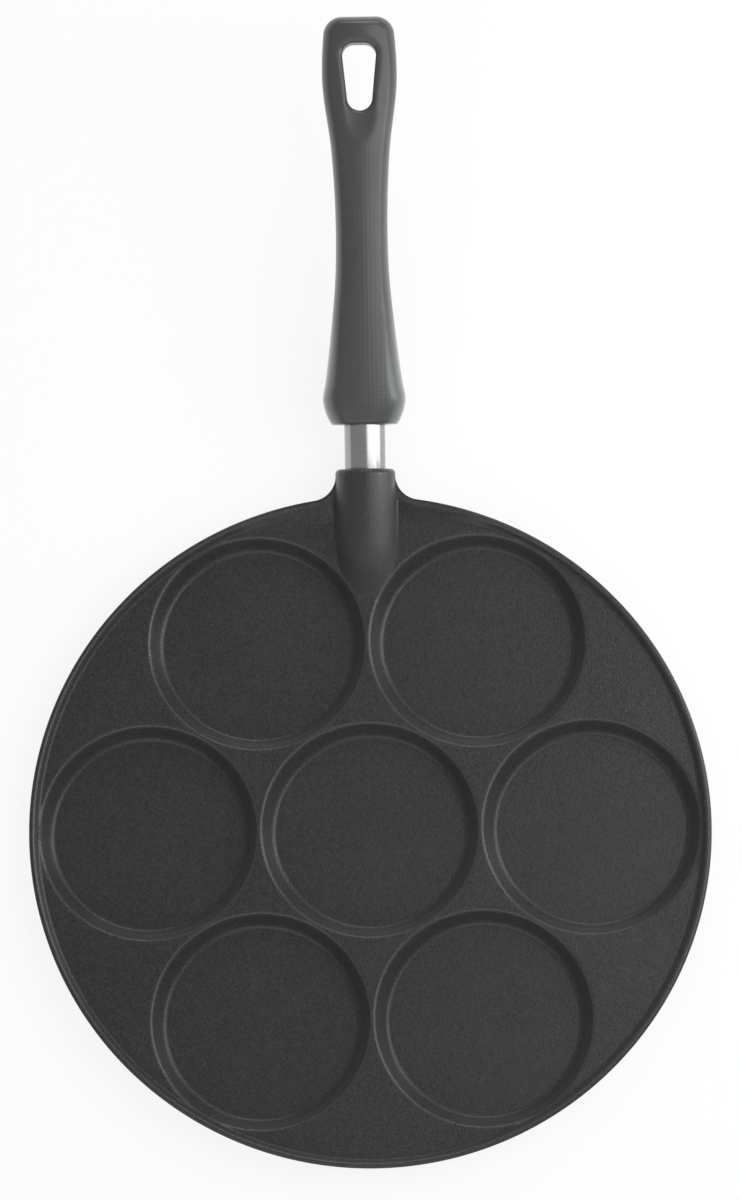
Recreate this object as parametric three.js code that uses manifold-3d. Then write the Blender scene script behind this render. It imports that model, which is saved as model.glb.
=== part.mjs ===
// A plett pan: a round cast griddle with seven pancake wells and a cast boss on its rim,
// a steel ferrule, a phenolic grip with a hang hole, and the long screw that holds them together.
// Millimetres. The pan lies flat with the centre of its base at the origin, +Z up, handle along +Y.

import * as THREE from 'three';
import { mergeVertices } from 'three/addons/utils/BufferGeometryUtils.js';
import loadManifold from 'manifold-3d';

// Room between two pieces that seat on or pass through each other
const FIT = 0.3;

// How far a cut runs on past the face it opens
const RUN_OUT = 2;

// Wells: a flat floor for a three inch pancake, and a wall that eases out of the floor and into the rim
const WELL_FLOOR_RADIUS = 37;
const WELL_WALL_RUN = 6.2;
const WELL_DEPTH = 6.5;
const WELL_FLOOR_EASE = 2.6;
const WELL_RIM_EASE = 1.6;
const WELLS_AROUND = 6;
const LAND_BETWEEN_WELLS = 0.4;
const FLOOR_THICKNESS = 4;

// Lip and side of the casting
const LAND_AT_LIP = 0.3;
const LIP_WIDTH = 3.3;
const LIP_HEIGHT = 3;
const LIP_ROUND = 1.4;
const SIDE_DRAFT = 1.2;
const BASE_EDGE_ROUND = 4;

// Ferrule, a tube that stands between the boss and the grip
const FERRULE_RADIUS = 8.05;
const FERRULE_WALL = 1;
const FERRULE_EXPOSED = 17.5;
const FERRULE_EDGE = 0.4;

// Boss: a tongue that rises out of the plate between two wells and ends in a round face for the ferrule
const HANDLE_RISE = THREE.MathUtils.degToRad(12.5);
const BOSS_WALL = 3.5;
const BOSS_REACH = 11;
const BOSS_LENGTH = 47;
const BOSS_NOSE_LENGTH = 17;
const BOSS_NOSE_HEIGHT = 2;
const BOSS_FACE_ROUND = 2;
const BOSS_GROUND_GAP = 0.8;
const BOSS_FLARE_RADIUS = 10;
const BOSS_FLARE_BITE = 0.9;
const BOSS_SOCKET_DEPTH = 2;
const BOSS_BORE_DEPTH = 26;

// Screw and washers
const SCREW_RADIUS = 2.5;
const SCREW_TIP_GAP = 2;
const SCREW_TIP_CHAMFER = 0.8;
const HEAD_RADIUS = 4.6;
const HEAD_HEIGHT = 3.4;
const HEAD_DOME = 1.2;
const SLOT_WIDTH = 1.2;
const SLOT_DEPTH = 1.6;
const FLAT_WASHER_RADIUS = 4.8;
const FLAT_WASHER_THICKNESS = 1;
const SPRING_WASHER_RADIUS = 4.3;
const SPRING_WASHER_THICKNESS = 1.4;
const SPRING_WASHER_SPLIT = 0.8;
const SPRING_WASHER_SLANT = THREE.MathUtils.degToRad(25);
const WASHER_EDGE = 0.1;

// Grip: a bell at its mouth, a waist, and a broad end; heights are above and below the screw's axis
const GRIP_LENGTH = 161.5;
const GRIP_SOCKET_DEPTH = 6;
const MOUTH_SIDE_WALL = 4.85;
const MOUTH_WALL = 2.65;
const BELL_PLACE = 9;
const BELL_HALF_WIDTH = 16.2;
const BELL_TOP = 12;
const BELL_BOTTOM = 12.6;
const BELL_FLANK = 4.4;
const WAIST_PLACE = 76;
const WAIST_HALF_WIDTH = 10.3;
const WAIST_TOP = 9.6;
const WAIST_BOTTOM = 9.6;
const WAIST_FLANK = 0.9;
const END_SHOULDER = 20;
const END_TAPER = 0.8;
const END_CORNER = 5.5;
const END_EDGE_ROUND = 2.6;
const PANEL_CROWN = 0.6;

// Hang hole: a slot that widens towards the far end, with a dished edge and a scoop on the pan's side
const EYE_END_WALL = 10.8;
const EYE_LENGTH = 26.6;
const EYE_NEAR_HALF_WIDTH = 5;
const EYE_FAR_HALF_WIDTH = 6.7;
const EYE_FAR_CORNER = 4.6;
const EYE_RAIL = 8;
const EYE_ROOF = 1.7;
const EYE_FLOOR = 2.5;
const EYE_DISH_WIDTH = 1.6;
const EYE_DISH_DEPTH = 1.3;
const SCOOP_LENGTH = 12.4;
const SCOOP_HALF_WIDTH = 6.4;
const SCOOP_DEPTH = 1.4;
const SEAT_SETBACK = 12;

// Shares that shape the curves
const NECK_PLACE_SHARE = 0.4;
const NECK_WIDTH_SHARE = 0.42;
const TAIL_PLACE_SHARE = 0.5;
const TAIL_WIDTH_SHARE = 0.3;
const BELLY_FULLNESS = 0.65;
const NOSE_POINT_SHARE = 0.08;
const SCOOP_BALL_SHARE = 5;
const STATION_BUNCHING = 0.14;

// Facets
const PAN_FACETS = 96;
const WELL_FACETS = 40;
const WELL_WALL_STEPS = 6;
const TUBE_FACETS = 36;
const SCREW_FACETS = 24;
const CURVE_STEPS = 5;
const FLARE_STEPS = 7;
const BOSS_STATIONS = 12;
const BOSS_FACETS = 28;
const GRIP_STATIONS = 32;
const SPLINE_SAMPLES = 160;

// Places that follow from the sizes above
const wellRimRadius = WELL_FLOOR_RADIUS + WELL_WALL_RUN;
const ringStep = (2 * Math.PI) / WELLS_AROUND;
const wellToWell = 2 * wellRimRadius + LAND_BETWEEN_WELLS;
const wellPitch = Math.max(wellToWell, wellToWell / 2 / Math.sin(ringStep / 2));
const landZ = FLOOR_THICKNESS + WELL_DEPTH;
const lipZ = landZ + LIP_HEIGHT;
const panRadius = wellPitch + wellRimRadius + LAND_AT_LIP + LIP_WIDTH;
const ferruleSocket = FERRULE_RADIUS + FIT;
const bossRadius = ferruleSocket + BOSS_WALL;
const bossFaceY = panRadius + BOSS_REACH;
const bossFaceZ = BOSS_GROUND_GAP + bossRadius * Math.cos(HANDLE_RISE);
const screwPassage = SCREW_RADIUS + FIT;
const headWell = Math.max(HEAD_RADIUS, FLAT_WASHER_RADIUS, SPRING_WASHER_RADIUS) + FIT;
const gripEnd = FERRULE_EXPOSED + GRIP_LENGTH;
const eyeFar = gripEnd - EYE_END_WALL;
const eyeNear = eyeFar - EYE_LENGTH;
const screwSeat = eyeNear - SEAT_SETBACK;
const flatWasherFrom = screwSeat + FIT;
const springWasherFrom = flatWasherFrom + FLAT_WASHER_THICKNESS + FIT;
const headFrom = springWasherFrom + SPRING_WASHER_THICKNESS + FIT;

// Carries a shape from the handle's own frame, where +Y is the screw's axis, to the pan's frame
const handleMatrix = new THREE.Matrix4().makeRotationX(HANDLE_RISE).setPosition(0, bossFaceY, bossFaceZ);

const wasm = await loadManifold();
wasm.setup();

// A closed geometry as a solid that can be joined and cut
function solid(geometry) {
  const bare = geometry.clone();
  bare.deleteAttribute('normal');
  bare.deleteAttribute('uv');
  const merged = mergeVertices(bare);
  const index = merged.index.array;
  const triVerts = [];
  for (let i = 0; i < index.length; i += 3) {
    const [a, b, c] = index.slice(i, i + 3);
    if (a !== b && b !== c && c !== a) triVerts.push(a, b, c);
  }
  return new wasm.Manifold(new wasm.Mesh({
    numProp: 3,
    vertProperties: merged.attributes.position.array,
    triVerts: new Uint32Array(triVerts),
  }));
}

// A finished solid as a geometry
function geometryOf(body) {
  const { vertProperties, triVerts } = body.getMesh();
  const geometry = new THREE.BufferGeometry();
  geometry.setAttribute('position', new THREE.BufferAttribute(vertProperties, 3));
  geometry.setIndex(new THREE.BufferAttribute(triVerts, 1));
  geometry.computeVertexNormals();
  return geometry;
}

// A closed skin over a row of sections with equal numbers of points, capped at both ends.
// Seen along the row, from its start, the points of a section run anticlockwise.
function loft(sections) {
  const around = sections[0].length;
  const lastRow = (sections.length - 1) * around;
  const points = sections.flat();
  const startCentre = points.push(middleOf(sections[0])) - 1;
  const endCentre = points.push(middleOf(sections[sections.length - 1])) - 1;
  const index = [];
  for (let j = 0; j < around; j += 1) {
    const k = (j + 1) % around;
    for (let row = 0; row < lastRow; row += around) {
      index.push(row + j, row + around + j, row + k);
      index.push(row + k, row + around + j, row + around + k);
    }
    index.push(startCentre, j, k);
    index.push(endCentre, lastRow + k, lastRow + j);
  }
  const geometry = new THREE.BufferGeometry().setFromPoints(points);
  geometry.setIndex(index);
  return geometry;
}

function middleOf(points) {
  return points.reduce((sum, p) => sum.add(p), new THREE.Vector3()).divideScalar(points.length);
}

// A stepped round along the screw's axis, each step given as [radius, from, to]
function steppedRound(steps, facets) {
  const profile = [new THREE.Vector2(0, steps[0][1])];
  for (const [radius, from, to] of steps) {
    profile.push(new THREE.Vector2(radius, from), new THREE.Vector2(radius, to));
  }
  profile.push(new THREE.Vector2(0, steps[steps.length - 1][2]));
  return new THREE.LatheGeometry(profile, facets);
}

// A ring about the screw's axis with small bevels on its outer edges
function ring(inner, outer, from, to, edge, facets) {
  const profile = new THREE.Path();
  profile.moveTo(inner, from);
  profile.lineTo(outer - edge, from);
  profile.lineTo(outer, from + edge);
  profile.lineTo(outer, to - edge);
  profile.lineTo(outer - edge, to);
  profile.lineTo(inner, to);
  profile.lineTo(inner, from);
  return new THREE.LatheGeometry(profile.getPoints(), facets);
}

// Outline of the casting in plan, drawn inward by inset: the round rim, and on each side of the boss
// an arc that carries the rim out to the boss, under which the outline falls back to the plain round
function rimOutline(inset, z) {
  const flareX = bossRadius - BOSS_FLARE_BITE + BOSS_FLARE_RADIUS;
  const flareY = Math.sqrt((panRadius + BOSS_FLARE_RADIUS) ** 2 - flareX ** 2);
  const meet = Math.atan2(flareY, flareX);
  const outline = [];
  for (let i = 0; i <= PAN_FACETS; i += 1) {
    const turn = THREE.MathUtils.lerp(meet, -Math.PI - meet, i / PAN_FACETS);
    outline.push(new THREE.Vector3(Math.cos(turn), Math.sin(turn), 0).setLength(panRadius - inset));
  }
  const flareShare = THREE.MathUtils.smoothstep(z, BASE_EDGE_ROUND, landZ);
  for (let i = 1; i <= FLARE_STEPS; i += 1) {
    const turn = THREE.MathUtils.lerp(meet, 0, i / FLARE_STEPS);
    const out = new THREE.Vector3(Math.cos(turn), Math.sin(turn), 0).setLength(BOSS_FLARE_RADIUS + inset);
    const flared = new THREE.Vector3(flareX, flareY, 0).sub(out);
    const plain = flared.clone().setLength(panRadius - inset);
    const right = plain.lerp(flared, flareShare);
    outline.unshift(right);
    outline.push(new THREE.Vector3(-right.x, right.y, 0));
  }
  return outline.map((p) => p.setZ(z));
}

// Plate: up the drafted side, over the lip and down to the land inside it
function plate() {
  const crest = (LIP_ROUND + LIP_WIDTH) / 2;
  const sideTop = lipZ - LIP_ROUND;
  const profile = new THREE.Path();
  profile.moveTo(SIDE_DRAFT + BASE_EDGE_ROUND, 0);
  profile.quadraticCurveTo(SIDE_DRAFT, 0, SIDE_DRAFT, BASE_EDGE_ROUND);
  profile.quadraticCurveTo(SIDE_DRAFT / 2, (BASE_EDGE_ROUND + sideTop) / 2, 0, sideTop);
  profile.quadraticCurveTo(0, lipZ, LIP_ROUND, lipZ);
  profile.bezierCurveTo(crest, lipZ, crest, landZ, LIP_WIDTH, landZ);
  return solid(loft(profile.getPoints(CURVE_STEPS).map(({ x, y }) => rimOutline(x, y))));
}

// What one well takes out of the plate
function wellCutter() {
  const profile = new THREE.Path();
  profile.moveTo(0, FLOOR_THICKNESS);
  profile.lineTo(WELL_FLOOR_RADIUS, FLOOR_THICKNESS);
  profile.bezierCurveTo(
    WELL_FLOOR_RADIUS + WELL_FLOOR_EASE, FLOOR_THICKNESS,
    wellRimRadius - WELL_RIM_EASE, landZ,
    wellRimRadius, landZ,
  );
  profile.lineTo(wellRimRadius, lipZ);
  profile.lineTo(0, lipZ);
  return solid(new THREE.LatheGeometry(profile.getPoints(WELL_WALL_STEPS), WELL_FACETS).rotateX(Math.PI / 2));
}

// Middles of the wells: one in the centre and a ring of them that leaves the handle's side to a land
function wellCentres() {
  const centres = [new THREE.Vector2(0, 0)];
  for (let i = 0; i < WELLS_AROUND; i += 1) {
    const turn = Math.PI / 2 + ringStep * (i + 0.5);
    centres.push(new THREE.Vector2(Math.cos(turn), Math.sin(turn)).multiplyScalar(wellPitch));
  }
  return centres;
}

// Boss: oval sections whose crown follows the handle's rise down to a rounded nose
function bossTongue() {
  const places = [];
  for (let i = 0; i < CURVE_STEPS; i += 1) {
    places.push(BOSS_FACE_ROUND * (1 - Math.cos((i / CURVE_STEPS) * Math.PI / 2)));
  }
  for (let i = 0; i <= BOSS_STATIONS; i += 1) {
    const eased = Math.sin((i / BOSS_STATIONS) * Math.PI / 2);
    places.push(THREE.MathUtils.lerp(BOSS_FACE_ROUND, BOSS_LENGTH, eased));
  }
  return solid(loft(places.reverse().map(bossSection)));
}

// One oval of the boss, this far in from its round face, which stands square to the handle
function bossSection(along) {
  const intoNose = Math.max(0, along - (BOSS_LENGTH - BOSS_NOSE_LENGTH)) / BOSS_NOSE_LENGTH;
  const fullness = Math.max(NOSE_POINT_SHARE, Math.sqrt(1 - Math.min(1, intoNose) ** 2));
  const edge = BOSS_FACE_ROUND - roundedEdge(BOSS_FACE_ROUND - along, BOSS_FACE_ROUND);
  const crownAtFace = bossFaceZ + bossRadius - landZ;
  const crown = THREE.MathUtils.lerp(crownAtFace, BOSS_NOSE_HEIGHT, along / BOSS_LENGTH) * Math.sqrt(fullness);
  const keel = landZ - BOSS_GROUND_GAP;
  const lean = Math.tan(HANDLE_RISE) * (1 - along / BOSS_LENGTH);
  const points = [];
  for (let j = 0; j < BOSS_FACETS; j += 1) {
    const turn = (j * 2 * Math.PI) / BOSS_FACETS;
    const rise = Math.sin(turn) * ((turn < Math.PI ? crown : keel) - edge);
    const y = bossFaceY - along - (landZ + rise - bossFaceZ) * lean;
    points.push(new THREE.Vector3(Math.cos(turn) * (bossRadius - edge) * fullness, y, landZ + rise));
  }
  return points;
}

// Height of a quarter round of this radius, a distance into its curve
function roundedEdge(into, radius) {
  return Math.sqrt(Math.max(0, radius ** 2 - Math.max(0, into) ** 2));
}

// Socket for the ferrule and tapped hole for the screw
function bossBore() {
  const bore = steppedRound([
    [screwPassage, -BOSS_BORE_DEPTH, -BOSS_SOCKET_DEPTH],
    [ferruleSocket, -BOSS_SOCKET_DEPTH, RUN_OUT],
  ], TUBE_FACETS);
  return solid(bore.applyMatrix4(handleMatrix));
}

function panCasting() {
  let body = plate().add(bossTongue());
  const cutter = wellCutter();
  for (const { x, y } of wellCentres()) body = body.subtract(cutter.translate([x, y, 0]));
  return geometryOf(body.subtract(bossBore()));
}

function ferrule() {
  const from = FIT - BOSS_SOCKET_DEPTH;
  const to = FERRULE_EXPOSED + GRIP_SOCKET_DEPTH - FIT;
  return ring(FERRULE_RADIUS - FERRULE_WALL, FERRULE_RADIUS, from, to, FERRULE_EDGE, TUBE_FACETS);
}

// A smooth run of a size along the grip, given as [place, size] pairs
function smoothAlong(pairs) {
  const spline = new THREE.SplineCurve(pairs.map(([place, size]) => new THREE.Vector2(place, size)));
  const samples = spline.getPoints(SPLINE_SAMPLES);
  return (place) => {
    const after = samples.findIndex((p) => p.x >= place);
    if (after === 0) return samples[0].y;
    if (after < 0) return samples[SPLINE_SAMPLES].y;
    const [a, b] = [samples[after - 1], samples[after]];
    return THREE.MathUtils.mapLinear(place, a.x, b.x, a.y, b.y);
  };
}

const shoulderPlace = GRIP_LENGTH - END_SHOULDER;
const endHalfWidth = EYE_FAR_HALF_WIDTH + EYE_RAIL;
const endTop = headWell + SCOOP_DEPTH + EYE_ROOF;
const endBottom = headWell + EYE_FLOOR;
const halfWidthAlong = smoothAlong([
  [0, ferruleSocket + MOUTH_SIDE_WALL],
  [BELL_PLACE, BELL_HALF_WIDTH],
  [
    THREE.MathUtils.lerp(BELL_PLACE, WAIST_PLACE, NECK_PLACE_SHARE),
    THREE.MathUtils.lerp(WAIST_HALF_WIDTH, BELL_HALF_WIDTH, NECK_WIDTH_SHARE),
  ],
  [WAIST_PLACE, WAIST_HALF_WIDTH],
  [
    THREE.MathUtils.lerp(WAIST_PLACE, shoulderPlace, TAIL_PLACE_SHARE),
    THREE.MathUtils.lerp(WAIST_HALF_WIDTH, endHalfWidth, TAIL_WIDTH_SHARE),
  ],
  [shoulderPlace, endHalfWidth],
  [GRIP_LENGTH, endHalfWidth - END_TAPER],
]);
const topAlong = smoothAlong([
  [0, ferruleSocket + MOUTH_WALL],
  [BELL_PLACE, BELL_TOP],
  [WAIST_PLACE, WAIST_TOP],
  [shoulderPlace, endTop],
  [GRIP_LENGTH, endTop],
]);
const bottomAlong = smoothAlong([
  [0, ferruleSocket + MOUTH_WALL],
  [BELL_PLACE, BELL_BOTTOM],
  [WAIST_PLACE, WAIST_BOTTOM],
  [shoulderPlace, endBottom],
  [GRIP_LENGTH, endBottom],
]);
const flankAlong = smoothAlong([
  [0, BELL_FLANK],
  [BELL_PLACE, BELL_FLANK],
  [WAIST_PLACE, WAIST_FLANK],
  [GRIP_LENGTH, WAIST_FLANK],
]);

// What a round of this radius on the grip's far end takes off at a place along the grip
function lostToEnd(place, radius) {
  return radius - roundedEdge(place - (GRIP_LENGTH - radius), radius);
}

// One section of the grip: a crowned top panel, a flank on each side and a round belly
function gripSection(place) {
  const halfWidth = halfWidthAlong(place) - lostToEnd(place, END_CORNER);
  const panelHalf = halfWidth - flankAlong(place);
  const top = topAlong(place) - lostToEnd(place, END_EDGE_ROUND);
  const bottom = lostToEnd(place, END_EDGE_ROUND) - bottomAlong(place);
  const panelEdge = top - PANEL_CROWN;
  const widest = (top + bottom) / 2;
  const half = new THREE.Path();
  half.moveTo(0, bottom);
  half.bezierCurveTo(halfWidth * BELLY_FULLNESS, bottom, halfWidth, (bottom + widest) / 2, halfWidth, widest);
  half.bezierCurveTo(halfWidth, (widest + panelEdge) / 2, panelHalf + PANEL_CROWN, panelEdge, panelHalf, panelEdge);
  half.quadraticCurveTo(panelHalf / 2, top, 0, top);
  const right = half.getPoints(CURVE_STEPS);
  const left = right.slice(1, -1).reverse().map((p) => new THREE.Vector2(-p.x, p.y));
  return [...right, ...left].map((p) => new THREE.Vector3(p.x, FERRULE_EXPOSED + place, p.y));
}

// The grip before its holes are cut, with its sections bunched at both ends
function gripBody() {
  const sections = [];
  for (let i = 0; i <= GRIP_STATIONS; i += 1) {
    const even = i / GRIP_STATIONS;
    const bunched = even - STATION_BUNCHING * Math.sin(even * 2 * Math.PI);
    sections.push(gripSection(bunched * GRIP_LENGTH));
  }
  return solid(loft(sections));
}

// Outline of the hang hole at this height, pushed outward by outset
function eyeOutline(outset, height) {
  const near = EYE_NEAR_HALF_WIDTH + outset;
  const corner = EYE_FAR_CORNER + outset;
  const cornerX = EYE_FAR_HALF_WIDTH - EYE_FAR_CORNER;
  const cornerY = eyeFar - EYE_FAR_CORNER;
  const slot = new THREE.Path();
  slot.absarc(0, eyeNear + EYE_NEAR_HALF_WIDTH, near, 0, -Math.PI, true);
  slot.absarc(-cornerX, cornerY, corner, Math.PI, Math.PI / 2, true);
  slot.absarc(cornerX, cornerY, corner, Math.PI / 2, 0, true);
  return slot.getPoints(CURVE_STEPS).map((p) => new THREE.Vector3(p.x, p.y, height));
}

// The hang hole with its dished edges, which run on past both faces of the grip
function eyeCutter() {
  return solid(loft([
    eyeOutline(EYE_DISH_WIDTH * 2, -endBottom - EYE_DISH_DEPTH),
    eyeOutline(0, -endBottom + EYE_DISH_DEPTH),
    eyeOutline(0, endTop - EYE_DISH_DEPTH),
    eyeOutline(EYE_DISH_WIDTH * 2, endTop + EYE_DISH_DEPTH),
  ]));
}

// The shallow scoop beside the hole, the lowest part of an ellipsoid that dips into the top panel
function scoopCutter() {
  const ballDepth = SCOOP_BALL_SHARE * SCOOP_DEPTH;
  const footprint = Math.sqrt(1 - (1 - SCOOP_DEPTH / ballDepth) ** 2);
  const ball = new THREE.SphereGeometry(1, TUBE_FACETS, TUBE_FACETS / 2);
  ball.scale(SCOOP_HALF_WIDTH / footprint, SCOOP_LENGTH / footprint, ballDepth);
  ball.translate(0, eyeNear, topAlong(eyeNear - FERRULE_EXPOSED) - SCOOP_DEPTH + ballDepth);
  return solid(ball);
}

// Ferrule socket, screw passage and the well for the screw's head, which opens into the hang hole
function gripBore() {
  const socketEnd = FERRULE_EXPOSED + GRIP_SOCKET_DEPTH;
  return solid(steppedRound([
    [ferruleSocket, FERRULE_EXPOSED - RUN_OUT, socketEnd],
    [screwPassage, socketEnd, screwSeat],
    [headWell, screwSeat, eyeNear + EYE_NEAR_HALF_WIDTH],
  ], TUBE_FACETS));
}

function handleGrip() {
  return geometryOf(gripBody().subtract(eyeCutter()).subtract(scoopCutter()).subtract(gripBore()));
}

function flatWasher() {
  const to = flatWasherFrom + FLAT_WASHER_THICKNESS;
  return ring(screwPassage, FLAT_WASHER_RADIUS, flatWasherFrom, to, WASHER_EDGE, SCREW_FACETS);
}

// A ring with a slanting split through it
function springWasher() {
  const to = springWasherFrom + SPRING_WASHER_THICKNESS;
  const whole = solid(ring(screwPassage, SPRING_WASHER_RADIUS, springWasherFrom, to, WASHER_EDGE, SCREW_FACETS));
  const through = SPRING_WASHER_THICKNESS + 2 * RUN_OUT;
  const split = new THREE.BoxGeometry(SPRING_WASHER_SPLIT, through, SPRING_WASHER_RADIUS);
  split.rotateZ(SPRING_WASHER_SLANT).translate(0, (springWasherFrom + to) / 2, SPRING_WASHER_RADIUS);
  return geometryOf(whole.subtract(solid(split)));
}

// A slotted screw with a domed head
function handleScrew() {
  const tip = SCREW_TIP_GAP - BOSS_BORE_DEPTH;
  const headTop = headFrom + HEAD_HEIGHT;
  const profile = new THREE.Path();
  profile.moveTo(0, tip);
  profile.lineTo(SCREW_RADIUS - SCREW_TIP_CHAMFER, tip);
  profile.lineTo(SCREW_RADIUS, tip + SCREW_TIP_CHAMFER);
  profile.lineTo(SCREW_RADIUS, headFrom);
  profile.lineTo(HEAD_RADIUS, headFrom);
  profile.lineTo(HEAD_RADIUS, headTop - HEAD_DOME);
  profile.quadraticCurveTo(HEAD_RADIUS - HEAD_DOME, headTop, 0, headTop);
  const shank = solid(new THREE.LatheGeometry(profile.getPoints(CURVE_STEPS), SCREW_FACETS));
  const across = 2 * (HEAD_RADIUS + RUN_OUT);
  const slot = new THREE.BoxGeometry(across, 2 * SLOT_DEPTH, SLOT_WIDTH).translate(0, headTop, 0);
  return geometryOf(shank.subtract(solid(slot)));
}

function piece(name, geometry, color, roughness, metalness) {
  const mesh = new THREE.Mesh(geometry, new THREE.MeshStandardMaterial({ color, roughness, metalness }));
  mesh.name = name;
  return mesh;
}

const handle = new THREE.Group();
handle.applyMatrix4(handleMatrix);
handle.add(
  piece('ferrule', ferrule(), 0xc9ccce, 0.18, 1),
  piece('handle_grip', handleGrip(), 0x2b2d2e, 0.42, 0),
  piece('handle_screw', handleScrew(), 0xb4b6b8, 0.3, 1),
  piece('spring_washer', springWasher(), 0x8f9294, 0.35, 1),
  piece('flat_washer', flatWasher(), 0xb4b6b8, 0.3, 1),
);

const plettPan = new THREE.Group();
plettPan.add(piece('pan_casting', panCasting(), 0x38383a, 0.55, 0.2), handle);

export default plettPan;
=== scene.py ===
import math

import bmesh
import bpy
import numpy as np
from mathutils import Matrix, Vector
from mathutils.geometry import delaunay_2d_cdt


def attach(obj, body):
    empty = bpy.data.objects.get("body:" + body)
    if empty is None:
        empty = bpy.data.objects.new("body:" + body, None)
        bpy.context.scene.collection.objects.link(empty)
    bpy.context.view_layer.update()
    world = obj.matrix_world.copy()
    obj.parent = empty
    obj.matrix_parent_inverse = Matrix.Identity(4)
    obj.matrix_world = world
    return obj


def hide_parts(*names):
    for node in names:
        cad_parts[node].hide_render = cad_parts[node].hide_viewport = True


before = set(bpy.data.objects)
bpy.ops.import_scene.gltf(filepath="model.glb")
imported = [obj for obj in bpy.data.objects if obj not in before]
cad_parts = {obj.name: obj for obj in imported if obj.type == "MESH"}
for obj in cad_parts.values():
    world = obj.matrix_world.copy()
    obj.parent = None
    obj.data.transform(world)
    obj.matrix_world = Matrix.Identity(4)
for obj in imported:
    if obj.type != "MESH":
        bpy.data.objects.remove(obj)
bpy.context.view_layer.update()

# Lengths are millimetres, with the pan's base on the floor and the handle along +Y
MM = 0.001
TINY = 1e-6
SAME_POINT = 1e-5

# Wells
WELL_FLOOR_RADIUS = 37.0
WELL_WALL_RUN = 6.2
WELL_DEPTH = 6.5
WELL_FLOOR_EASE = 2.6
WELL_RIM_EASE = 1.6
WELLS_AROUND = 6
LAND_BETWEEN_WELLS = 0.4
FLOOR_THICKNESS = 4.0

# Lip and side of the casting
LAND_AT_LIP = 0.3
LIP_WIDTH = 3.3
LIP_ROUND = 1.4
LIP_SLOPE_END = 4.1
LIP_FADE_TURN = math.radians(16)
LIP_FADE_REACH = 6.0
LIP_HEIGHT = 2.4
SIDE_DRAFT = 1.2
BASE_EDGE_ROUND = 4.0
TURNED_BELOW = 0.1

# Ferrule
FIT = 0.3
FERRULE_RADIUS = 8.05
FERRULE_WALL = 1.0
FERRULE_EXPOSED = 17.5
FERRULE_EDGE = 0.45

# Boss
HANDLE_RISE = math.radians(12.5)
BOSS_WALL = 3.5
BOSS_REACH = 11.0
BOSS_STRAIGHT = 30.0
BOSS_NOSE_LENGTH = 21.0
BOSS_FACE_ROUND = 2.0
BOSS_GROUND_GAP = 0.8
BOSS_FOOT = 7.0
BOSS_FOOT_REACH = 2.4
BOSS_SIDE_SLOPE = 4.0
BOSS_FLARE_RADIUS = 10.0
BOSS_SOCKET_DEPTH = 2.0
BOSS_SOCKET_CHAMFER = 0.25
BOSS_BORE_DEPTH = 26.0
WEB_SLOPE = 0.7
KEEL_BLEND = 0.8
KEEL_LENGTH = 16.0

# Wear with a painted highlight, and dry spray, on the coat
WEAR_AND_HIGHLIGHT_LIP_INSET = 1.7
WEAR_AND_HIGHLIGHT_LIP_SPREAD = 0.7
WEAR_AND_HIGHLIGHT_RIM_INSET = 0.5
WEAR_AND_HIGHLIGHT_RIM_SPREAD = 0.5
WEAR_AND_HIGHLIGHT_CROWN = 0.6
WEAR_AND_HIGHLIGHT_CROWN_FROM = 2.0
WEAR_AND_HIGHLIGHT_CROWN_RISE = 4.0
DRY_SPRAY_LENGTH = 32.0

# Screw passage in the boss and the grip
SCREW_RADIUS = 2.5
HEAD_WELL_RADIUS = 5.1
HEAD_WELL_STRAIGHT = 8.0
HEAD_WELL_MOUTH = 4.7

# Grip; places along it are measured from its mouth, heights from the screw's axis
GRIP_LENGTH = 161.5
GRIP_SOCKET_DEPTH = 6.0
MOUTH_ROUND = 2.0
MOUTH_SIDE_ROUND = 0.7
END_CORNER = 6.5
PANEL_CROWN = 3.2
HALF_WIDTHS = (
    (0.0, 13.3), (5.0, 15.4), (9.5, 16.4), (17.0, 15.3), (37.0, 12.75), (61.0, 10.6),
    (79.0, 10.3), (108.0, 11.55), (138.0, 14.85), (152.0, 14.3), (161.5, 13.3),
)
TOPS = ((0.0, 11.0), (12.0, 12.0), (44.0, 10.8), (76.0, 9.6), (141.5, 8.2), (161.5, 8.2))
BOTTOMS = ((0.0, 11.0), (12.0, 12.6), (44.0, 11.2), (76.0, 9.6), (141.5, 7.6), (161.5, 7.6))
FLANKS = ((0.0, 6.4), (12.0, 6.6), (37.0, 4.4), (76.0, 3.4), (141.5, 3.6), (161.5, 4.2))
BELLIES = ((0.0, 11.5), (9.0, 14.0), (76.0, 9.2), (141.5, 10.0), (161.5, 6.0))
BELLY_BEND = 0.6
FRONT_ROLL = 0.34
FRONT_ROLL_LENGTH = 9.0

# Hang hole
EYE_END_WALL = 10.8
EYE_LENGTH = 26.6
EYE_NEAR_HALF_WIDTH = 5.0
EYE_FAR_HALF_WIDTH = 6.7
EYE_FAR_CORNER = 4.6
EYE_ROLL_WIDTH = 2.2
EYE_FAR_ROLL = 0.7
EYE_ROLL_DEPTH = 1.9
SCOOP_LENGTH = 12.4
SCOOP_HALF_WIDTH = 6.4
SCOOP_DEPTH = 1.4
SEAT_SETBACK = 12.0

# Hatched panel on the grip's top, and the gloss and painted highlight on its flanks
HATCH_PITCH = 1.7
HATCH_FROM = 5.0
HATCH_FRONT_FADE = 3.0
HATCH_TO = 112.0
HATCH_FADE = 6.0
HATCH_EDGE = 0.75
HATCH_EDGE_FADE = 0.3
GLOSS_AND_HIGHLIGHT_LOSS = 0.7
GLOSS_AND_HIGHLIGHT_LOSS_FROM = 14.0
GLOSS_AND_HIGHLIGHT_LOSS_LENGTH = 40.0

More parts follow.
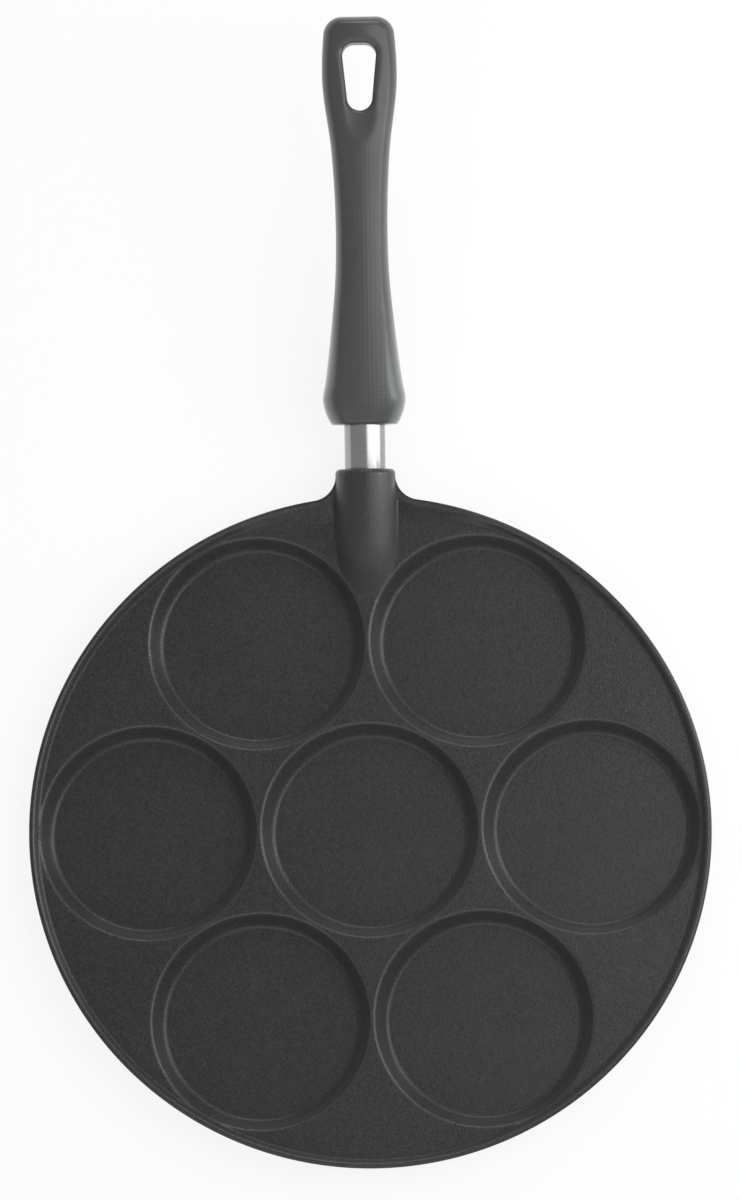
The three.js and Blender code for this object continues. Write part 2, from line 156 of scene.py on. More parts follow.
# The photograph's frame, and the camera that took it
FRAME_WIDTH = 741
FRAME_HEIGHT = 1200
PAN_MIDDLE_PX = (370.3, 829.3)
PX_PER_MM = 2.554
CAMERA_DISTANCE = 2550.0
CAMERA_TILT = math.radians(12.27)
CAMERA_YAW = math.radians(0.3)
CAMERA_ROLL = math.radians(-0.8)

# Places that follow from the sizes above
well_rim_radius = WELL_FLOOR_RADIUS + WELL_WALL_RUN
well_pitch = 2 * well_rim_radius + LAND_BETWEEN_WELLS
land_z = FLOOR_THICKNESS + WELL_DEPTH
pan_radius = well_pitch + well_rim_radius + LAND_AT_LIP + LIP_WIDTH
ferrule_socket = FERRULE_RADIUS + FIT
screw_passage = SCREW_RADIUS + FIT
boss_radius = ferrule_socket + BOSS_WALL
face_y = pan_radius + BOSS_REACH
face_z = BOSS_GROUND_GAP + boss_radius * math.cos(HANDLE_RISE)
ring_y = face_y - BOSS_FACE_ROUND * math.cos(HANDLE_RISE)
ring_z = face_z - BOSS_FACE_ROUND * math.sin(HANDLE_RISE)
foot_height = ring_z - land_z
nose_start_y = face_y - BOSS_STRAIGHT
keel_depth = ring_z - BOSS_GROUND_GAP
flare_x = boss_radius + BOSS_FLARE_RADIUS
flare_y = math.sqrt((pan_radius + BOSS_FLARE_RADIUS) ** 2 - flare_x ** 2)
flare_turn = math.atan2(flare_y, flare_x)
eye_far = GRIP_LENGTH - EYE_END_WALL
eye_near = eye_far - EYE_LENGTH
screw_seat = eye_near - SEAT_SETBACK

ring_turn = 2 * math.pi / WELLS_AROUND
well_middles = [(0.0, 0.0)]
for k in range(WELLS_AROUND):
    turn = math.pi / 2 + ring_turn * (k + 0.5)
    well_middles.append((well_pitch * math.cos(turn), well_pitch * math.sin(turn)))

handle_foot = Vector((0, face_y, face_z)) * MM
handle_frame = Matrix.Translation(handle_foot) @ Matrix.Rotation(HANDLE_RISE, 4, "X")


class Skin:
    """The points and faces of one closed piece, gathered sheet by sheet and ring by ring."""

    def __init__(self):
        self.points = []
        self.faces = []

    def add(self, points):
        first = len(self.points)
        self.points.extend(tuple(float(c) for c in p) for p in points)
        return list(range(first, len(self.points)))

    def bridge(self, ring, following):
        """Faces between two closed rings with equal numbers of points."""
        for i, here in enumerate(ring):
            back = i - 1
            self.faces.append((ring[back], here, following[i], following[back]))

    def cap(self, ring):
        self.faces.append(tuple(ring))

    def sheet(self, loops, inner, height):
        """A surface over a plan: the first loop of points is its outer edge, any others are holes."""
        edge = [i for loop in loops for i in loop]
        plan = [Vector(self.points[i][:2]) for i in edge] + [Vector(p) for p in inner]
        borders = []
        first = 0
        for loop in loops:
            borders += [(first + k, first + (k + 1) % len(loop)) for k in range(len(loop))]
            first += len(loop)
        found, _, faces, origins, _, _ = delaunay_2d_cdt(plan, borders, [], 1, SAME_POINT)
        flat = np.array([(p.x, p.y) for p in found])
        faces = np.array(faces)
        for hole in loops[1:]:
            hole_plan = np.array([self.points[i][:2] for i in hole])
            faces = faces[~inside(hole_plan, flat[faces].mean(axis=1))]
        used = set(faces.ravel().tolist())
        fresh = [k for k in used if not origins[k] or min(origins[k]) >= len(edge)]
        place = {k: edge[min(origins[k])] for k in used - set(fresh)}
        lifted = height(flat[fresh, 0], flat[fresh, 1])
        place.update(zip(fresh, self.add(np.column_stack([flat[fresh], lifted]))))
        self.faces.extend(tuple(place[k] for k in face) for face in faces.tolist())

    def piece(self, name, set_in=Matrix.Identity(4)):
        """The finished mesh object, its faces pointing out and smooth but for real edges."""
        mesh = bpy.data.meshes.new(name)
        mesh.from_pydata([set_in @ (Vector(p) * MM) for p in self.points], [], self.faces)
        made = bpy.data.objects.new(name, mesh)
        bpy.context.scene.collection.objects.link(made)
        point_out(mesh)
        return made


SHARP_EDGE = math.radians(42)


def point_out(mesh):
    body = bmesh.new()
    body.from_mesh(mesh)
    bmesh.ops.recalc_face_normals(body, faces=body.faces)
    body.to_mesh(mesh)
    body.free()
    mesh.shade_smooth()
    mesh.set_sharp_from_angle(angle=SHARP_EDGE)


def inside(loop, points):
    """Which points of a plan lie inside a loop, by the number of times they see it to their right."""
    x, y = points.T
    crossings = np.zeros(len(points), dtype=int)
    for (ax, ay), (bx, by) in zip(loop, np.roll(loop, -1, axis=0)):
        if ay != by:
            crossings += ((ay > y) != (by > y)) & (x < ax + (y - ay) * (bx - ax) / (by - ay))
    return crossings % 2 == 1


def ease(share):
    share = np.clip(share, 0.0, 1.0)
    return share * share * (3.0 - 2.0 * share)


def quarter_round(share):
    """Height of a quarter round, 0 at its upright foot and 1 where it levels out."""
    return np.sqrt(1.0 - (1.0 - np.clip(share, 0.0, 1.0)) ** 2)


def soft_max(first, second, blend):
    """The higher of two heights, with a fillet where they are nearly level."""
    near = np.clip(1.0 - np.abs(first - second) / np.maximum(blend, TINY), 0.0, 1.0)
    return np.maximum(first, second) + near ** 2 * blend / 4


def soft_min(first, second, blend):
    return -soft_max(-first, -second, blend)


def half_oval(share):
    """Height of an oval above its middle, 1 at the crown and 0 at its side."""
    return np.sqrt(np.clip(1.0 - share ** 2, 0.0, 1.0))


def round_spread(count):
    """Shares from 0 to 1 that bunch towards 1 as the height of an oval needs."""
    return np.sin(np.linspace(0.0, math.pi / 2, count))


def in_pan_frame(x, along, height):
    """A point of the handle's own frame, where +Y is the screw's axis, as a point of the pan's."""
    y = face_y + along * math.cos(HANDLE_RISE) - height * math.sin(HANDLE_RISE)
    z = face_z + along * math.sin(HANDLE_RISE) + height * math.cos(HANDLE_RISE)
    return np.column_stack([x, y, z])


# The casting's top and base, as heights over the plan

WALL_SAMPLES = 400
wall_share = np.linspace(0.0, 1.0, WALL_SAMPLES)
wall_run = (
    3 * wall_share * (1 - wall_share) ** 2 * WELL_FLOOR_EASE
    + 3 * wall_share ** 2 * (1 - wall_share) * (WELL_WALL_RUN - WELL_RIM_EASE)
    + wall_share ** 3 * WELL_WALL_RUN
)


def well_surface(x, y):
    """The plate's top with its wells, before the lip and the boss."""
    out = from_wells(x, y) - WELL_FLOOR_RADIUS
    return FLOOR_THICKNESS + WELL_DEPTH * ease(np.interp(out, wall_run, wall_share))


def from_wells(x, y):
    """Distance to the middle of the nearest well."""
    distances = [np.hypot(x - middle_x, y - middle_y) for middle_x, middle_y in well_middles]
    return np.min(distances, axis=0)


def rim_inset(x, y):
    """How far a point of the plan lies in from the casting's outline."""
    side = np.abs(x)
    by_boss = np.arctan2(y, side) > flare_turn
    to_flare = np.hypot(side - flare_x, y - flare_y) - BOSS_FLARE_RADIUS
    inset = np.where(by_boss, to_flare, pan_radius - np.hypot(x, y))
    return np.where(by_boss & (y > flare_y), boss_radius - side, inset)


def near_boss(x, y):
    """0 round most of the rim, 1 at the flares beside the boss."""
    return ease((np.arctan2(y, np.abs(x)) - flare_turn) / LIP_FADE_TURN + 1.0)


def lip_rise(x, y):
    """The lip above the land: a rounded edge and a slope down, which widens beside the boss."""
    inset = rim_inset(x, y)
    fade = near_boss(x, y)
    crest = (LIP_HEIGHT - foot_height) * (1.0 - fade)
    rise = foot_height + crest * quarter_round(inset / LIP_ROUND)
    slope_end = LIP_SLOPE_END + LIP_FADE_REACH * fade
    return rise * (1.0 - ease((inset - LIP_ROUND) / (slope_end - LIP_ROUND)))


def into_nose(y):
    """0 along the boss, 1 where its nose would end if it ran on into the plate."""
    return np.maximum(0.0, (nose_start_y - y) / BOSS_NOSE_LENGTH)


def boss_outset(x, y):
    """How far a point of the plan lies outside the boss."""
    nose = into_nose(y)
    share = np.hypot(x / boss_radius, nose)
    steepness = np.hypot(x / boss_radius ** 2, nose / BOSS_NOSE_LENGTH)
    return (share - 1.0) * share / np.maximum(steepness, TINY)


def ring_line(x):
    """Where the boss's rounded end begins, at this place across its top."""
    return ring_y - boss_radius * half_oval(x / boss_radius) * math.sin(HANDLE_RISE)


def boss_rise(x, y):
    """The boss above the land: a round bar that sinks nose first into the plate."""
    axis = face_z + (y - face_y) * math.tan(HANDLE_RISE) - land_z
    share = np.hypot(x / boss_radius, into_nose(y))
    bar = axis + boss_radius / math.cos(HANDLE_RISE) * half_oval(share)
    return np.where(share < 1.0, bar, axis - BOSS_SIDE_SLOPE * boss_outset(x, y))


def casting_top(x, y):
    blend = BOSS_FOOT * ease(rim_inset(x, y) / LIP_SLOPE_END)
    return well_surface(x, y) + soft_max(lip_rise(x, y), boss_rise(x, y), blend)


def side_profile(inset):
    """Height of the drafted side and the rounded base edge, this far in from the outline."""
    wall = ring_z + (BASE_EDGE_ROUND - ring_z) * np.clip(inset / SIDE_DRAFT, 0.0, 1.0)
    edge = BASE_EDGE_ROUND * (1.0 - quarter_round((inset - SIDE_DRAFT) / BASE_EDGE_ROUND))
    return np.where(inset < SIDE_DRAFT, wall, edge)


def casting_base(x, y):
    in_from_round = pan_radius - np.hypot(x, y)
    web = BASE_EDGE_ROUND + (SIDE_DRAFT - in_from_round) * WEB_SLOPE
    web = np.where(in_from_round < SIDE_DRAFT, np.minimum(web, ring_z), side_profile(in_from_round))
    plate = np.maximum(side_profile(rim_inset(x, y)), web)
    keel = np.where(y > 0, ring_z - keel_depth * half_oval(x / boss_radius), ring_z)
    return soft_min(plate, keel, KEEL_BLEND)


# Plan points for the casting, as close together as its curves need

RIM_STEPS = 190
FLARE_STEPS = 16
SIDE_STEPS = 2
LIP_ROUND_STEPS = 8
LIP_SLOPE_STEPS = 11
LEVEL_STEPS = (0.35, 0.8)
RAMP_FROM = 1.6
RAMP_SPACING = 0.8
WELL_FACETS = 120
WELL_WALL_STEPS = 20
WELL_FLOOR_RINGS = (12.0, 24.0, 33.0, 36.0, 36.6)
RING_STEPS = 47
FACE_ROUND_STEPS = 8
BOSS_LEVELS = 24
BOSS_STATIONS = 26
BOSS_FOOT_STEPS = 11
LAND_SPACING = 8.0
DRAFT_STEPS = 5
BASE_EDGE_STEPS = 9
BASE_RINGS = (0.4, 30.0, 70.0, 105.0)
KEEL_LEVELS = 16
KEEL_STATIONS = 30

# Room kept between the points of one form and the next
LIP_ROOM = 0.05
LIP_END_ROOM = 0.1
RIM_ROOM = 0.1
SHARED_LAND_ROOM = 0.05
LIP_TO_WELL_ROOM = 0.15
LIP_TO_BOSS_ROOM = 0.12
RAMP_TO_WELL_ROOM = 1.0
LAND_ROOM = 1.2
LAND_TO_BOSS_ROOM = 1.0
KEEL_ROOM = 0.05
BASE_MIDDLE_ROOM = 1.0


def rim_curve(inset):
    """The outline in plan, drawn inward: boss side, flare and rim, then back on the left."""
    side_y = np.linspace(ring_y, flare_y, SIDE_STEPS, endpoint=False)
    side = np.column_stack([np.full(SIDE_STEPS, boss_radius - inset), side_y])
    turns = np.linspace(0.0, flare_turn, FLARE_STEPS, endpoint=False)
    reach = BOSS_FLARE_RADIUS + inset
    flare = np.column_stack([flare_x - reach * np.cos(turns), flare_y - reach * np.sin(turns)])
    turns = np.linspace(flare_turn, -math.pi / 2, RIM_STEPS)
    rim = (pan_radius - inset) * np.column_stack([np.cos(turns), np.sin(turns)])
    right = np.vstack([side, flare, rim])
    return np.vstack([right, right[-2::-1] * (-1, 1)])


def both_sides(points):
    points = np.asarray(points)
    return np.vstack([points, points[points[:, 0] > TINY] * (-1, 1)])


def lip_points():
    """Rows along the lip, and more beside the boss, where its slope reaches further in."""
    rounded = LIP_ROUND * (1.0 - round_spread(LIP_ROUND_STEPS)[-2::-1])
    sloping = np.linspace(LIP_ROUND, LIP_SLOPE_END, LIP_SLOPE_STEPS)[1:]
    level = [LIP_SLOPE_END + step for step in LEVEL_STEPS]
    points = np.vstack([rim_curve(inset) for inset in [*rounded, *sloping, *level]])
    on_lip = rim_inset(*points.T) < LIP_SLOPE_END + LIP_END_ROOM
    on_land = from_wells(*points.T) > well_rim_radius + LIP_TO_WELL_ROOM
    ramp_steps = np.arange(RAMP_FROM, LIP_FADE_REACH + 1.0, RAMP_SPACING)
    ramp = np.vstack([rim_curve(LIP_SLOPE_END + step) for step in ramp_steps])
    by_boss = near_boss(*ramp.T) > 0.0
    ramp = ramp[by_boss & (from_wells(*ramp.T) > well_rim_radius + RAMP_TO_WELL_ROOM)]
    points = np.vstack([points[on_lip | on_land], ramp])
    return points[boss_outset(*points.T) > LIP_TO_BOSS_ROOM]


def well_points():
    """Rings round each well, without those that another well, the lip or the boss takes over."""
    walls = WELL_FLOOR_RADIUS + wall_run[::WALL_SAMPLES // WELL_WALL_STEPS]
    level = [well_rim_radius + step for step in LEVEL_STEPS]
    radii = np.concatenate([WELL_FLOOR_RINGS, walls, level])
    turns = np.arange(WELL_FACETS) * 2 * math.pi / WELL_FACETS
    circle = np.column_stack([np.cos(turns), np.sin(turns)])
    points = [np.array(middle) + radius * circle for middle in well_middles for radius in radii]
    points = np.vstack([np.array(well_middles)] + points)
    x, y = points.T
    own_well = np.repeat(np.arange(len(well_middles)), len(radii) * WELL_FACETS)
    own_well = np.concatenate([np.arange(len(well_middles)), own_well])
    own = np.hypot(*(points - np.array(well_middles)[own_well]).T)
    kept = (own < well_rim_radius + RIM_ROOM) | (from_wells(x, y) > own - SHARED_LAND_ROOM)
    kept &= rim_inset(x, y) > LIP_SLOPE_END + LIP_ROOM
    return points[kept & (boss_outset(x, y) > BOSS_FOOT_REACH)]


def boss_points():
    points = []
    for share in round_spread(BOSS_LEVELS)[:-1]:
        x = boss_radius * share
        for y in np.linspace(ring_line(np.array(x)), nose_start_y, BOSS_STATIONS)[1:]:
            points.append((x, y))
        for turn in np.linspace(0.0, math.pi / 2, BOSS_STATIONS)[1:]:
            y = nose_start_y - BOSS_NOSE_LENGTH * share * math.sin(turn)
            points.append((x * math.cos(turn), y))
    return both_sides(np.unique(np.round(points, 4), axis=0))


def boss_foot_points():
    points = []
    for outset in np.linspace(0.0, BOSS_FOOT_REACH, BOSS_FOOT_STEPS):
        for y in np.linspace(flare_y, nose_start_y, BOSS_STATIONS):
            points.append((boss_radius + outset, y))
        for turn in np.linspace(0.0, math.pi / 2, BOSS_STATIONS)[1:]:
            outward = Vector((math.cos(turn) * BOSS_NOSE_LENGTH, -math.sin(turn) * boss_radius))
            outward.normalize()
            x = boss_radius * math.cos(turn) + outset * outward.x
            y = nose_start_y - BOSS_NOSE_LENGTH * math.sin(turn) + outset * outward.y
            points.append((x, y))
    points = both_sides(np.unique(np.round(points, 4), axis=0))
    return points[rim_inset(*points.T) > LIP_SLOPE_END + LIP_ROOM]


def land_points():
    steps = np.arange(-pan_radius, pan_radius, LAND_SPACING)
    points = np.array([(x, y) for x in steps for y in steps])
    x, y = points.T
    kept = from_wells(x, y) > well_rim_radius + LAND_ROOM
    kept &= rim_inset(x, y) > LIP_SLOPE_END + LAND_ROOM
    return points[kept & (boss_outset(x, y) > BOSS_FOOT_REACH + LAND_TO_BOSS_ROOM)]


def base_points():
    """Rows along the drafted side and the base's edge, and rows along the boss's round underside."""
    walls = np.linspace(0.0, SIDE_DRAFT, DRAFT_STEPS)[1:]
    rounds = SIDE_DRAFT + BASE_EDGE_ROUND * (1.0 - round_spread(BASE_EDGE_STEPS)[-2::-1])
    flats = [BASE_EDGE_ROUND + SIDE_DRAFT + step for step in BASE_RINGS]
    points = np.vstack([rim_curve(inset) for inset in [*walls, *rounds, *flats]])
    x, y = points.T
    keel_end = pan_radius - KEEL_LENGTH
    under_boss = (np.abs(x) < boss_radius + KEEL_ROOM) & (y > keel_end)
    points = points[~under_boss & (np.hypot(x, y) > BASE_MIDDLE_ROOM)]
    keel = []
    for share in round_spread(KEEL_LEVELS)[:-1]:
        low_y = ring_y + keel_depth * math.tan(HANDLE_RISE) * math.sqrt(1.0 - share ** 2)
        stations = np.linspace(low_y, keel_end, KEEL_STATIONS)[1:]
        keel += [(boss_radius * share, y) for y in stations]
    return np.vstack([points, both_sides(keel), [(0.0, 0.0)]])


keel_share = keel_depth / math.cos(HANDLE_RISE) / boss_radius


def casting():
    """The griddle: a top and a base that meet at its widest line, and the boss's bored end."""
    skin = Skin()
    outline = rim_curve(0.0)
    edge = skin.add(np.column_stack([outline, np.full(len(outline), ring_z)]))
    turns = np.linspace(0.0, math.pi, RING_STEPS + 1)[1:-1]
    across, rise = boss_radius * np.cos(turns), boss_radius * np.sin(turns)
    upper = skin.add(in_pan_frame(across, -BOSS_FACE_ROUND, rise))
    lower = skin.add(in_pan_frame(-across, -BOSS_FACE_ROUND, -keel_share * rise))
    top_points = [lip_points(), well_points(), boss_points(), boss_foot_points(), land_points()]
    skin.sheet([edge + upper[::-1]], np.vstack(top_points), casting_top)
    skin.sheet([edge + lower], base_points(), casting_base)
    bored_end(skin, [edge[0], *upper, edge[-1], *lower])
    made = skin.piece("pan_body")
    x, y, z = np.array(skin.points).T
    # Wear, and a painted highlight, along the lip's crest, the wells' rims and the boss's crown
    paint(made, "wear_and_painted_highlight", wear_and_highlight_edges(x, y, z))
    paint(made, "dry", dry_spray(x, y))
    return made


def bored_end(skin, ring):
    """Closes the boss from a ring round it: a rounded face, the ferrule's socket and the screw's hole."""
    turns = np.arange(len(ring)) * 2 * math.pi / len(ring)
    rounding = np.linspace(0.0, math.pi / 2, FACE_ROUND_STEPS)[1:]
    steps = [
        (boss_radius - BOSS_FACE_ROUND * (1 - math.cos(t)), -BOSS_FACE_ROUND * (1 - math.sin(t)))
        for t in rounding
    ]
    steps += [
        (ferrule_socket + BOSS_SOCKET_CHAMFER, 0.0),
        (ferrule_socket, -BOSS_SOCKET_CHAMFER),
        (ferrule_socket, -BOSS_SOCKET_DEPTH),
        (screw_passage, -BOSS_SOCKET_DEPTH),
        (screw_passage, -BOSS_BORE_DEPTH),
    ]
    for radius, along in steps:
        in_face = radius > ferrule_socket
        settled = np.clip(1.0 + along / BOSS_FACE_ROUND, 0.0, 1.0) if in_face else 1.0
        below = np.where(np.sin(turns) < 0, keel_share + (1.0 - keel_share) * settled, 1.0)
        across, rise = radius * np.cos(turns), radius * np.sin(turns) * below
        following = skin.add(in_pan_frame(across, along, rise))
        skin.bridge(ring, following)
        ring = following
    skin.cap(ring)


def paint(piece, name, amounts):
    """Stores an amount from 0 to 1 at each point, for the finish to read."""
    layer = piece.data.attributes.new(name, "FLOAT", "POINT")
    layer.data.foreach_set("value", np.asarray(amounts, dtype=np.float32))


def wear_and_highlight_edges(x, y, z):
    """Where hands and spatulas rub, and where the coat is painted lighter as a painted highlight: the
    lip's crest, the rims of the wells and the boss's crown.
    """
    lip = np.exp(-((rim_inset(x, y) - WEAR_AND_HIGHLIGHT_LIP_INSET) / WEAR_AND_HIGHLIGHT_LIP_SPREAD) ** 2)
    in_from_rim = well_rim_radius - from_wells(x, y)
    well_rims = np.exp(-((in_from_rim - WEAR_AND_HIGHLIGHT_RIM_INSET) / WEAR_AND_HIGHLIGHT_RIM_SPREAD) ** 2)
    crown = WEAR_AND_HIGHLIGHT_CROWN * ease((z - land_z - WEAR_AND_HIGHLIGHT_CROWN_FROM) / WEAR_AND_HIGHLIGHT_CROWN_RISE)
    wear_and_painted_highlight = np.maximum.reduce([lip, well_rims, crown])
    return np.where(z > FLOOR_THICKNESS, wear_and_painted_highlight, 0.0)


def dry_spray(x, y):
    """Where the coat lands dry and matt: over the boss's nose, fading out towards its rubbed end."""
    on_boss = ease(1.0 - boss_outset(x, y) / BOSS_FOOT_REACH)
    return on_boss * (1.0 - ease((y - face_y + DRY_SPRAY_LENGTH) / DRY_SPRAY_LENGTH))


# Handle

TUBE_FACETS = 96
TUBE_EDGE_STEPS = 5


def lathe(steps, name, closed):
    """A round piece about the screw's axis from its [radius, place] outline."""
    skin = Skin()
    turns = np.arange(TUBE_FACETS) * 2 * math.pi / TUBE_FACETS
    circle = np.column_stack([np.cos(turns), np.zeros(TUBE_FACETS), np.sin(turns)])
    rings = [skin.add(radius * circle + (0.0, along, 0.0)) for radius, along in steps]
    for ring, following in zip(rings, rings[1:]):
        skin.bridge(ring, following)
    if closed:
        skin.bridge(rings[-1], rings[0])
    else:
        skin.cap(rings[0])
        skin.cap(rings[-1])
    return skin.piece(name, handle_frame)


def ferrule():
    """A polished tube with softly broken edges."""
    inner = FERRULE_RADIUS - FERRULE_WALL
    near = FIT - BOSS_SOCKET_DEPTH
    far = FERRULE_EXPOSED + GRIP_SOCKET_DEPTH - FIT
    turns = np.linspace(0.0, math.pi / 2, TUBE_EDGE_STEPS)
    near_edge = [
        (FERRULE_RADIUS - FERRULE_EDGE * (1 - math.sin(t)), near + FERRULE_EDGE * (1 - math.cos(t)))
        for t in turns
    ]
    far_edge = [(radius, near + far - along) for radius, along in near_edge[::-1]]
    return lathe([(inner, near), *near_edge, *far_edge, (inner, far)], "ferrule_tube", True)


def smooth_run(pairs):
    """A size that changes smoothly along the grip, given as (place, size) pairs."""
    places, sizes = np.array(pairs).T
    steps = np.diff(places)
    slopes = np.diff(sizes) / steps
    leans = (slopes[:-1] * steps[1:] + slopes[1:] * steps[:-1]) / (steps[:-1] + steps[1:])
    leans = np.concatenate([slopes[:1], leans, slopes[-1:]])

    def size_at(place):
        k = np.clip(np.searchsorted(places, place) - 1, 0, len(steps) - 1)
        share = np.clip((place - places[k]) / steps[k], 0.0, 1.0)
        straight = sizes[k] + (sizes[k + 1] - sizes[k]) * ease(share)
        bend = leans[k] * (1.0 - share) - leans[k + 1] * share
        return straight + steps[k] * share * (1.0 - share) * bend

    return size_at


half_width = smooth_run(HALF_WIDTHS)
top_height = smooth_run(TOPS)
bottom_depth = smooth_run(BOTTOMS)
flank_width = smooth_run(FLANKS)
belly_width = smooth_run(BELLIES)


def belly_roll(place):
    """How far in from the grip's edge its belly bends most."""
    return BELLY_BEND * belly_width(place)


def middle_height(place):
    """Height of the grip's widest line."""
    return (top_height(place) - bottom_depth(place)) / 2


GRIP_STEPS = 110
CORNER_STEPS = 14
END_STEPS = 8
BELL_LENGTH = 15.0
BELL_STEPS = 24
EYE_NEAR_STEPS = 29
EYE_CORNER_STEPS = 13
EYE_SIDE_STEPS = 15
EYE_END_STEPS = 7
MOUTH_RUN_ON = 6.0
bell_places = np.linspace(MOUTH_ROUND, BELL_LENGTH, BELL_STEPS, endpoint=False)


def grip_outline():
    """The grip in plan, from the right of its mouth round its far end to the left of its mouth."""
    places = np.linspace(BELL_LENGTH, GRIP_LENGTH - END_CORNER, GRIP_STEPS)
    places = np.concatenate([bell_places, places])
    side = np.column_stack([half_width(places), places])
    turns = np.linspace(0.0, math.pi / 2, CORNER_STEPS)[1:]
    corner_y = GRIP_LENGTH - END_CORNER * (1.0 - np.sin(turns))
    corner = np.column_stack([half_width(corner_y) - END_CORNER * (1.0 - np.cos(turns)), corner_y])
    end_x = np.linspace(corner[-1, 0], 0.0, END_STEPS)[1:]
    end = np.column_stack([end_x, np.full(len(end_x), GRIP_LENGTH)])
    right = np.vstack([side, corner, end])
    return np.vstack([right, right[-2::-1] * (-1, 1)])


def eye_outline(outset=0.0):
    """The hang hole in plan."""
    turns = np.linspace(0.0, -math.pi, EYE_NEAR_STEPS)
    near = np.column_stack([np.cos(turns), np.sin(turns)]) * (EYE_NEAR_HALF_WIDTH + outset)
    near += (0.0, eye_near + EYE_NEAR_HALF_WIDTH)
    turns = np.linspace(math.pi, math.pi / 2, EYE_CORNER_STEPS)
    far = np.column_stack([np.cos(turns), np.sin(turns)]) * (EYE_FAR_CORNER + outset)
    far += (EYE_FAR_CORNER - EYE_FAR_HALF_WIDTH, eye_far - EYE_FAR_CORNER)
    side_share = np.linspace(0.0, 1.0, EYE_SIDE_STEPS)[1:-1, None]
    left = near[-1] + (far[0] - near[-1]) * side_share
    across = np.linspace(far[-1, 0], -far[-1, 0], EYE_END_STEPS)[1:-1, None]
    end = np.column_stack([across, np.full(len(across), far[-1, 1])])
    return np.vstack([near, left, far, end, far[::-1] * (-1, 1), left[::-1] * (-1, 1)])


def distance_to(path, x, y, closed):
    """Distance from points of a plan to a path of straight steps."""
    path = np.vstack([path, path[:1]]) if closed else path
    start, step = path[:-1], np.diff(path, axis=0)
    nearest = np.full(len(x), np.inf)
    for (start_x, start_y), (step_x, step_y) in zip(start, step):
        off_x, off_y = x - start_x, y - start_y
        share = (off_x * step_x + off_y * step_y) / (step_x ** 2 + step_y ** 2)
        share = np.clip(share, 0.0, 1.0)
        nearest = np.minimum(nearest, np.hypot(off_x - share * step_x, off_y - share * step_y))
    return nearest


outline_of_grip = grip_outline()
outline_of_eye = eye_outline()
before_mouth = outline_of_grip[0] + (outline_of_grip[0] - outline_of_grip[1]) * MOUTH_RUN_ON
edge_of_grip = np.vstack([before_mouth, outline_of_grip, before_mouth * (-1, 1)])


def eye_roll(x, y):
    """What the rounded edge of the hang hole takes off the grip's face."""
    width = EYE_ROLL_WIDTH * (1.0 + EYE_FAR_ROLL * ease((y - eye_near) / EYE_LENGTH))
    from_eye = distance_to(outline_of_eye, x, y, True)
    return EYE_ROLL_DEPTH * (1.0 - quarter_round(from_eye / width))


def grip_top(x, y):
    panel = top_height(y) - PANEL_CROWN * (x / half_width(y)) ** 2
    middle = middle_height(y)
    flank = quarter_round(distance_to(edge_of_grip, x, y, False) / flank_width(y))
    front = half_oval(FRONT_ROLL * np.clip(1.0 - y / FRONT_ROLL_LENGTH, 0.0, 1.0))
    top = middle + (panel - middle) * flank * front
    scoop = 1.0 - (x / SCOOP_HALF_WIDTH) ** 2 - ((y - eye_near) / SCOOP_LENGTH) ** 2
    return top - eye_roll(x, y) - SCOOP_DEPTH * np.clip(scoop, 0.0, 1.0)


def grip_bottom(x, y):
    middle = middle_height(y)
    inset = distance_to(edge_of_grip, x, y, False)
    drop = (middle + bottom_depth(y)) * quarter_round(inset / belly_width(y))
    return middle - drop + eye_roll(x, y)


def inset_path(path, inset):
    """A path in plan moved to its left by this much."""
    along = np.gradient(path, axis=0)
    along /= np.linalg.norm(along, axis=1)[:, None]
    return path + inset[:, None] * np.column_stack([-along[:, 1], along[:, 0]])


ROLL_STEPS = 12
EYE_ROLL_STEPS = 8
MOUTH_MIDDLE_STEPS = 7
MOUTH_ROUND_STEPS = 7
EYE_WALL_LEVELS = 6
FIELD_HALF_WIDTH = 15.0
FIELD_COLUMNS = 25
FIELD_SPACING = 1.6
FIELD_START = MOUTH_ROUND + 1.5

# Room kept between the field's points and the rows round it
BELL_ROOM = 0.3
ROLL_ROOM = 0.3
EYE_ROOM = 0.2
MOUTH_ROOM = 0.2

roll_shares = 1.0 - round_spread(ROLL_STEPS)[-2::-1]
eye_roll_shares = 1.0 - round_spread(EYE_ROLL_STEPS)[-2::-1]
eye_roll_reach = EYE_ROLL_WIDTH * (1.0 + EYE_FAR_ROLL)


def bell_points(roll_width):
    """Rows straight across the bell, where the outline bends too fast to be followed inward."""
    place, share = np.meshgrid(bell_places[1:], roll_shares)
    across = half_width(place) - share * roll_width(place)
    return both_sides(np.column_stack([across.ravel(), place.ravel()]))


def mouth_row(roll_width):
    """Places across the mouth from right to left, in line with the rows of the bell."""
    rolling = half_width(MOUTH_ROUND) - roll_shares * roll_width(MOUTH_ROUND)
    middle = np.linspace(rolling[-1], 0.0, MOUTH_MIDDLE_STEPS)[1:]
    right = np.concatenate([rolling, middle])
    return np.concatenate([right, -right[-2::-1]])


